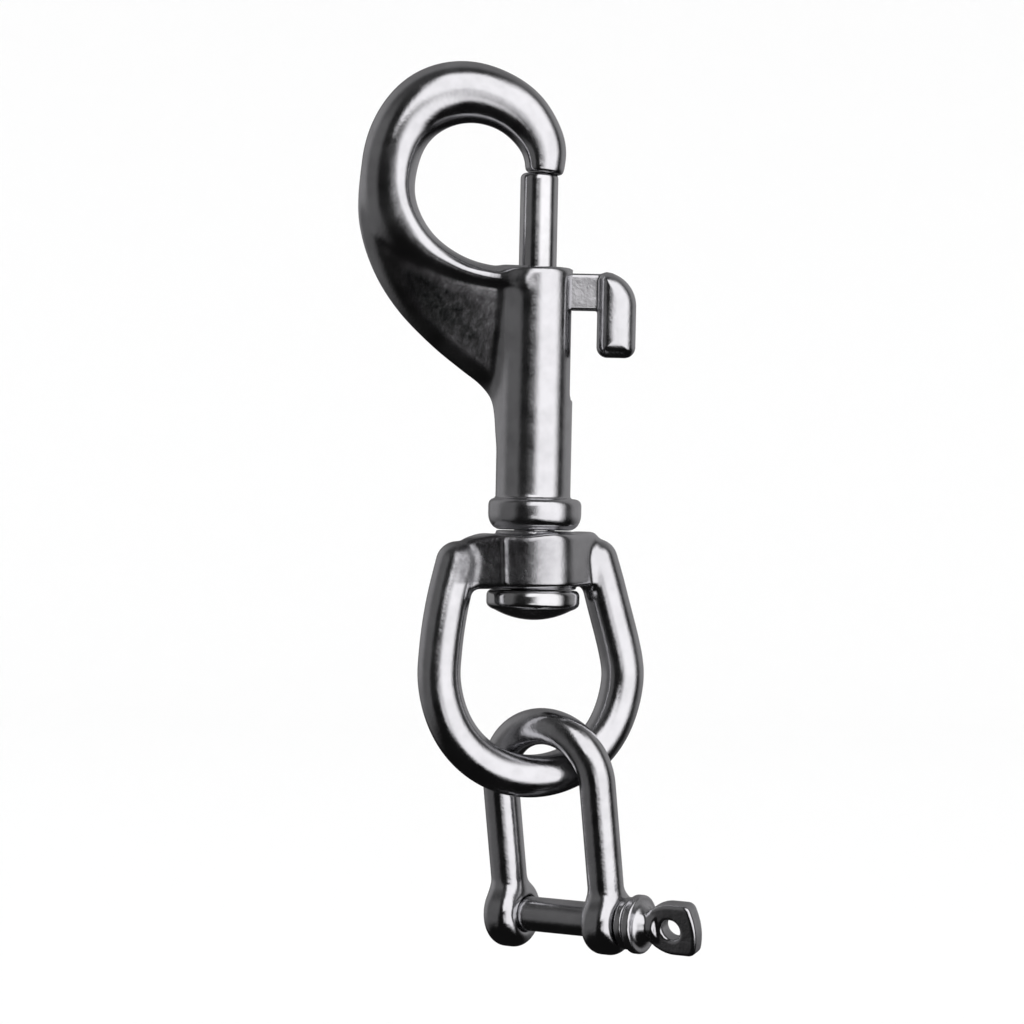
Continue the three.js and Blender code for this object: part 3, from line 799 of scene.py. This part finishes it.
def web_skin_and_shade(p):
    """The web's as-cast skin, rough and dented, and painted shade, on its flat sides between the free
    edge, the bead and the barrel.
    """
    edge = spline(WEB_EDGE, 10)
    rim = spline(EYE_BAR[6:, 2:4], 10)
    flank, flank_low, flank_high = AXIS_X - 4.4, -43.0, -22.5
    x, z = p[:, 0], p[:, 2]
    from_edge, _ = line_distance(x, z, edge)
    from_rim, _ = line_distance(x, z, rim)
    outline = np.vstack([edge, [[flank, flank_low]], [[flank, flank_high]], rim[::-1][8:]])
    inside = inside_outline(x, z, outline)
    from_barrel = AXIS_X - 4.2 - x
    fade = np.clip((AXIS_X + 4 - x) / 14, 0.45, 1)  # painted shade, darkest far from the barrel
    soft = np.clip((from_edge - 0.6) / 3.5, 0, 1) * np.clip(from_rim / 1.6, 0, 1)
    return inside * soft * fade * np.clip((from_barrel + 0.6) / 2.5, 0, 1)


def arm_skin_and_shade(p):
    """The crossbar's as-cast skin, rough and dented, and painted shade: most on its left arm, fading over
    the boss.
    """
    turned = p - [SWIVEL_X, 0, 0]
    u = turned[:, 0] * math.cos(BAIL_YAW) + turned[:, 1] * math.sin(BAIL_YAW)
    left_end, right_end = 12.8, 10.4
    ends = np.clip((np.where(u < 0, left_end, right_end) - np.abs(u)) / 1.2, 0, 1)
    above = np.clip((CROSSBAR_TOP - 0.4 - p[:, 2]) / 0.5, 0, 1)
    below = np.clip((p[:, 2] - CROSSBAR_BOTTOM - 0.2) / 0.5, 0, 1)
    return ends * above * below * np.clip((1.8 - u) / 6, 0.08, 1)


def stem_skin(p):
    """As cast on the lever's stem, up to the pad."""
    return np.clip((PAD_LEFT - 0.3 - p[:, 0]) / 0.4, 0, 1)


CAST = (0.60, 0.60, 0.615)
TURNED = (0.66, 0.66, 0.67)

hook = hook_body()
paint_layer(hook, "cast_skin_and_shade", web_skin_and_shade)
# On the web the layer also darkens the steel almost to black: painted shade.
place(hook, "hook_body", "hook", steel("hook_steel", CAST, 0.12, 0.1, 0.010, 0.03, "cast_skin_and_shade", 0.02))
place(plunger_bolt(), "plunger_bolt", "plunger", steel("bolt_steel", TURNED, 0.1, 0.08, 0.006))
lever = thumb_lever()
paint_layer(lever, "cast_skin_and_shade", stem_skin)
place(lever, "thumb_lever", "plunger", steel("lever_steel", CAST, 0.15, 0.12, 0.018, 0.08))
spring = place(plunger_spring(), "plunger_spring", "hook", steel("spring_steel", TURNED, 0.2, 0.1, 0.004))
place(swivel_stud(), "swivel_stud", "hook", steel("stud_steel", TURNED, 0.11, 0.1, 0.008))
bail = swivel_eye()
paint_layer(bail, "cast_skin_and_shade", arm_skin_and_shade)
# On the crossbar's left arm the layer also darkens the steel: painted shade.
place(bail, "swivel_eye", "swivel", steel("bail_steel", CAST, 0.13, 0.1, 0.013, 0.05, "cast_skin_and_shade", 0.3))
place(shackle_bow(), "shackle_bow", "shackle", steel("bow_steel", CAST, 0.12, 0.1, 0.016))
place(shackle_pin(), "shackle_pin", "pin", steel("pin_steel", CAST, 0.14, 0.1, 0.014))

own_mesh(spring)


# ---- Floor, light and camera ----

def backdrop():
    """A pale floor that runs up into a wall behind, well clear of the object."""
    reach, drop, radius, steps, wall = 2.4, -0.19, 0.6, 16, 2.6
    bend = [[-reach, drop], [reach - radius, drop]]
    for i in range(1, steps + 1):
        angle = math.pi / 2 * i / steps
        bend.append([reach - radius + radius * math.sin(angle), drop + radius * (1 - math.cos(angle))])
    bend.append([reach, drop + wall])
    mesh = bpy.data.meshes.new("floor")
    points = [(x, y, z) for x in (-reach, reach) for y, z in bend]
    count = len(bend)
    mesh.from_pydata(points, [], [(i, i + 1, count + i + 1, count + i) for i in range(count - 1)])
    mesh.shade_smooth()
    floor = bpy.data.objects.new("floor", mesh)
    bpy.context.scene.collection.objects.link(floor)
    material = bpy.data.materials.new("pale_floor")
    material.use_nodes = True
    shader = material.node_tree.nodes["Principled BSDF"]
    shader.inputs["Base Color"].default_value = (0.93, 0.93, 0.93, 1)
    shader.inputs["Roughness"].default_value = 0.9
    shader.inputs["Specular IOR Level"].default_value = 0.0
    mesh.materials.append(material)
    floor.visible_glossy = False


def studio():
    """Soft studio light: a bright box front right, a dim one behind, dark below. The metal sees it
    by direction; the floor and the camera see plain white."""
    world = bpy.data.worlds.new("studio")
    bpy.context.scene.world = world
    world.use_nodes = True
    nodes, links = world.node_tree.nodes, world.node_tree.links
    nodes.clear()
    where = nodes.new("ShaderNodeTexCoord").outputs["Generated"]

    def maths(kind, *values):
        node = nodes.new("ShaderNodeMath")
        node.operation = kind
        for socket, value in zip(node.inputs, values):
            if isinstance(value, (int, float)):
                socket.default_value = value
            else:
                links.new(value, socket)
        return node.outputs[0]

    def towards(azimuth, elevation):
        """How far the direction points to an azimuth, right of the front, and elevation."""
        a, e = math.radians(azimuth), math.radians(elevation)
        node = nodes.new("ShaderNodeVectorMath")
        node.operation = "DOT_PRODUCT"
        links.new(where, node.inputs[0])
        node.inputs[1].default_value = (math.sin(a) * math.cos(e), -math.cos(a) * math.cos(e), math.sin(e))
        return node.outputs["Value"]

    def edge(value, low, high):
        """0 below low, 1 above high, smooth between."""
        node = nodes.new("ShaderNodeMapRange")
        node.interpolation_type = "SMOOTHSTEP"
        node.inputs["From Min"].default_value = low
        node.inputs["From Max"].default_value = high
        links.new(value, node.inputs["Value"])
        return node.outputs["Result"]

    def softbox(left, right, low, high, side_soft, soft):
        """A box of light by its limits in azimuth and elevation, in degrees."""
        low, high = math.sin(math.radians(low)), math.sin(math.radians(high))
        height = towards(0, 90)
        lit = edge(towards(left + 90, 0), -side_soft, side_soft)
        lit = maths("MULTIPLY", lit, edge(towards(right - 90, 0), -side_soft, side_soft))
        lit = maths("MULTIPLY", lit, edge(height, low - soft, low + soft))
        return maths("MULTIPLY", lit, maths("SUBTRACT", 1.0, edge(height, high - soft, high + soft)))

    key = softbox(5, 74, -32, 56, 0.24, 0.12)
    key = maths("MULTIPLY", key, edge(towards(100, 60), -0.5, -0.34))
    brow = softbox(-16, 40, 7, 60, 0.1, 0.07)
    chin = softbox(-8, 30, -26, -8, 0.1, 0.07)
    key = maths("MAXIMUM", key, maths("MAXIMUM", brow, maths("MULTIPLY", chin, 0.7)))
    height = towards(0, 90)
    back = maths("MULTIPLY", edge(towards(180, 5), -0.1, 0.4), edge(height, -0.4, 0.0))
    rim = edge(towards(140, 10), 0.7, 0.95)
    left = maths("MULTIPLY", edge(towards(-97, 8), 0.52, 0.74), edge(height, -0.75, -0.35))
    left = maths("MULTIPLY", left, maths("SUBTRACT", 1.0, edge(height, 0.35, 0.9)))
    above = edge(height, 0.3, 1.0)
    light = maths("MULTIPLY", key, 1.5)
    for part, strength in ((rim, 0.16), (back, 0.17), (left, 0.13), (above, 0.03)):
        light = maths("ADD", light, maths("MULTIPLY", part, strength))
    light = maths("ADD", light, 0.008)

    path = nodes.new("ShaderNodeLightPath")
    seen = nodes.new("ShaderNodeBackground")
    seen.inputs["Color"].default_value = (1, 1, 1, 1)
    seen.inputs["Strength"].default_value = 1.1
    mirrored = nodes.new("ShaderNodeBackground")
    mirrored.inputs["Color"].default_value = (1.0, 0.985, 1.0, 1)
    links.new(light, mirrored.inputs["Strength"])
    mix = nodes.new("ShaderNodeMixShader")
    links.new(path.outputs["Is Glossy Ray"], mix.inputs["Fac"])
    links.new(seen.outputs[0], mix.inputs[1])
    links.new(mirrored.outputs[0], mix.inputs[2])
    output = nodes.new("ShaderNodeOutputWorld")
    links.new(mix.outputs[0], output.inputs["Surface"])


def camera():
    """Level with the middle of the object, half a metre away, rolled a little."""
    distance, frame_width, sensor = 0.5, 0.14066, 36.0
    middle_x, middle_z = 0.00668, -0.05344
    roll = math.radians(1.2)
    data = bpy.data.cameras.new("camera")
    data.sensor_width = sensor
    data.lens = sensor * distance / frame_width
    data.clip_start, data.clip_end = 0.01, 20
    thing = bpy.data.objects.new("camera", data)
    right = Vector((math.cos(roll), 0, math.sin(roll)))
    up = Vector((-math.sin(roll), 0, math.cos(roll)))
    turn = Matrix((right, up, (0, -1, 0))).transposed()
    thing.matrix_world = Matrix.Translation((middle_x, -distance, middle_z)) @ turn.to_4x4()
    bpy.context.scene.collection.objects.link(thing)
    bpy.context.scene.camera = thing


backdrop()
studio()
camera()
bpy.context.scene.view_settings.view_transform = "Standard"
